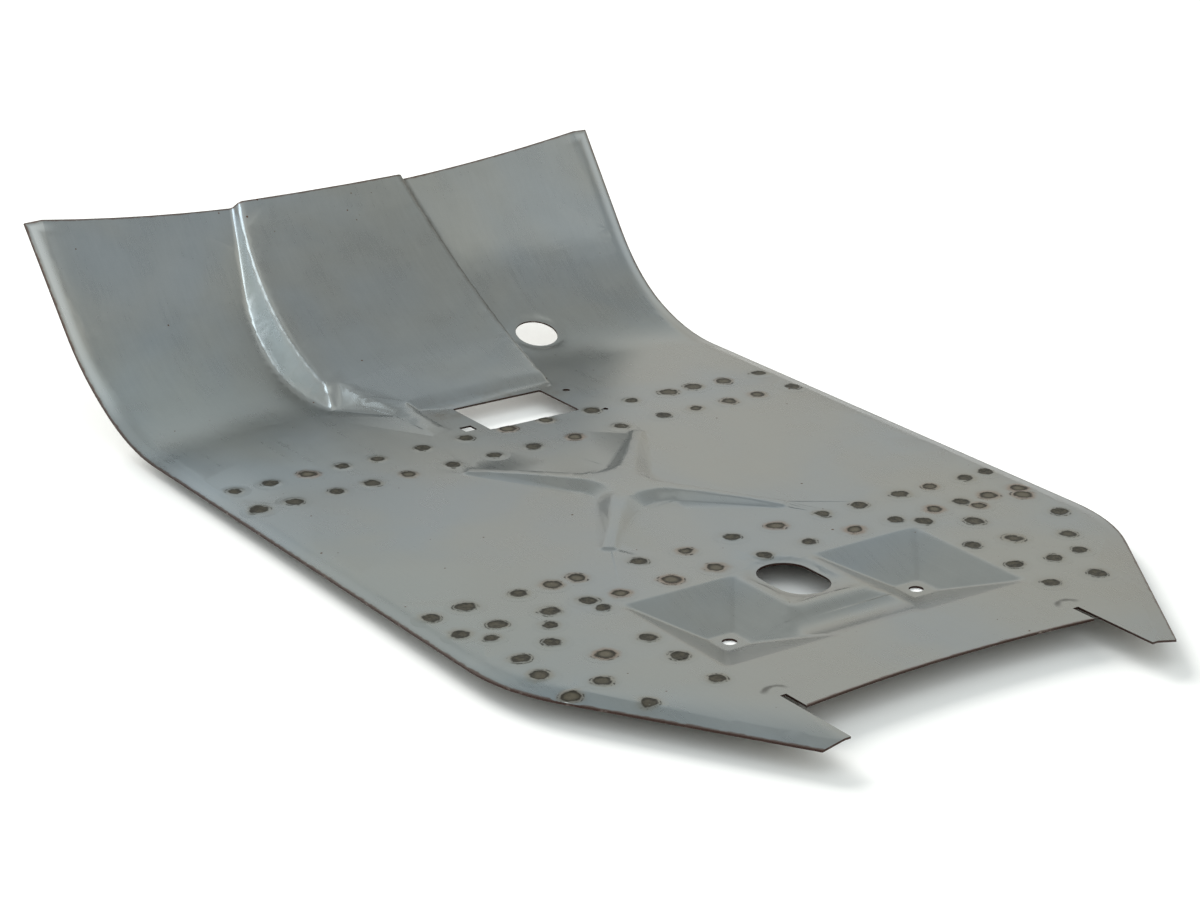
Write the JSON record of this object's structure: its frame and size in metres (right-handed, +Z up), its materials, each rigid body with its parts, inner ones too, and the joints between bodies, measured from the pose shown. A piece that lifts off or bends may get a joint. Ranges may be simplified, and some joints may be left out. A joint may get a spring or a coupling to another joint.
{
  "type": "scooter floorboard",
  "caption": "Pressed steel scooter floorboard: upswept wrapped shield with a raised centre, pedal and cable openings, stand bolt seats, slit tails and welded reinforcements underneath.",
  "frame": {"origin": "middle of the whole board's bounding box, on its bottom", "axes": "+X to the rider's right, +Y forwards to the shield, +Z up from the floor"},
  "size_m": [0.4332, 0.7118, 0.128],
  "materials": {
    "panel_steel": "bare satin steel with rust specks",
    "member_steel": "bare satin steel",
    "plate_steel": "bare satin steel"
  },
  "bodies": {
    "root": {"floor_panel": "panel_steel", "front_cross_member": "member_steel", "rear_cross_member": "member_steel", "rear_left_corner_plate": "plate_steel", "rear_right_corner_plate": "plate_steel"}
  },
  "joints": []
}
